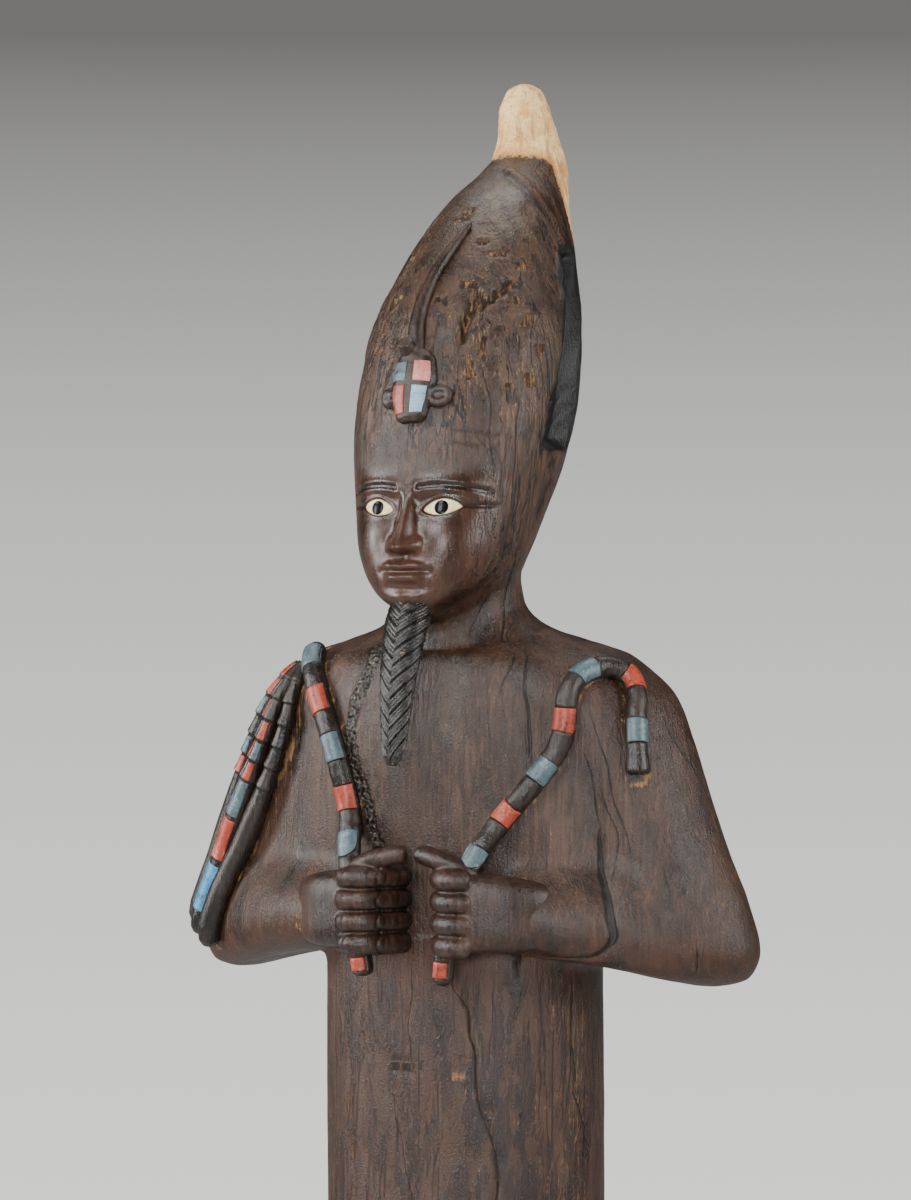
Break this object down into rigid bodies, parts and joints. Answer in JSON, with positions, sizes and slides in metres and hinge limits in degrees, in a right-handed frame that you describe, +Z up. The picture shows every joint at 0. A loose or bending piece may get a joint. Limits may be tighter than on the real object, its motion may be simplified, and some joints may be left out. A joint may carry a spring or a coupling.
{
  "type": "osiris statue",
  "caption": "Standing carved wooden statue of a wrapped god in a tall crown, arms folded over the chest with crook and flail, on a low plinth.",
  "frame": {"origin": "centre of the plinth's underside", "axes": "+Z up along the figure, the figure faces -Y, its left hand with the crook is on the +X side"},
  "size_m": [0.4313, 0.4, 1.5853],
  "materials": {
    "dark_wood": "dark brown aged wood with a soft grey sheen, ochre where the surface is worn or chipped",
    "plinth_wood": "plain dark brown wood",
    "beard_paste": "dark slate blue inlay paste, half gloss",
    "red_glass": "opaque red glass, half gloss",
    "blue_glass": "opaque blue grey glass, half gloss",
    "eye_stone": "cream coloured polished stone",
    "pupil_stone": "polished black stone"
  },
  "bodies": {
    "root": {"beard": "beard_paste", "cobra": "dark_wood", "cobra_inlay_lower_left": "blue_glass", "cobra_inlay_lower_right": "red_glass", "cobra_inlay_upper_left": "red_glass", "cobra_inlay_upper_right": "blue_glass", "crook": "dark_wood", "crook_foot": "dark_wood", "crook_foot_inlay_red_1": "red_glass", "crook_inlay_blue_1": "blue_glass", "crook_inlay_blue_3": "blue_glass", "crook_inlay_blue_5": "blue_glass", "crook_inlay_blue_7": "blue_glass", "crook_inlay_red_2": "red_glass", "crook_inlay_red_4": "red_glass", "crook_inlay_red_6": "red_glass", "flail_foot": "dark_wood", "flail_foot_inlay_red_1": "red_glass", "flail_handle": "dark_wood", "flail_handle_inlay_blue_1": "blue_glass", "flail_handle_inlay_blue_3": "blue_glass", "flail_handle_inlay_blue_5": "blue_glass", "flail_handle_inlay_red_2": "red_glass", "flail_handle_inlay_red_4": "red_glass", "flail_lash_inner": "dark_wood", "flail_lash_middle": "dark_wood", "flail_lash_outer": "dark_wood", "lash_drop_inlay_blue_1": "blue_glass", "lash_drop_inlay_blue_3": "blue_glass", "lash_drop_inlay_red_2": "red_glass", "lash_middle_bead_2_blue_1": "blue_glass", "lash_middle_bead_3_red_1": "red_glass", "lash_middle_bead_4_blue_1": "blue_glass", "lash_middle_bead_4_red_2": "red_glass", "lash_middle_bead_5_blue_2": "blue_glass", "lash_middle_bead_5_red_1": "red_glass", "lash_middle_bead_6_blue_1": "blue_glass", "lash_middle_bead_6_red_2": "red_glass", "lash_outer_bead_1_red_1": "red_glass", "lash_outer_bead_2_red_1": "red_glass", "lash_outer_bead_3_blue_1": "blue_glass", "lash_outer_bead_5_blue_1": "blue_glass", "lash_outer_bead_6_red_1": "red_glass", "left_eye_white": "eye_stone", "left_hand": "dark_wood", "left_pupil": "pupil_stone", "plinth": "plinth_wood", "right_eye_white": "eye_stone", "right_hand": "dark_wood", "right_pupil": "pupil_stone", "statue_body": "dark_wood"}
  },
  "joints": []
}
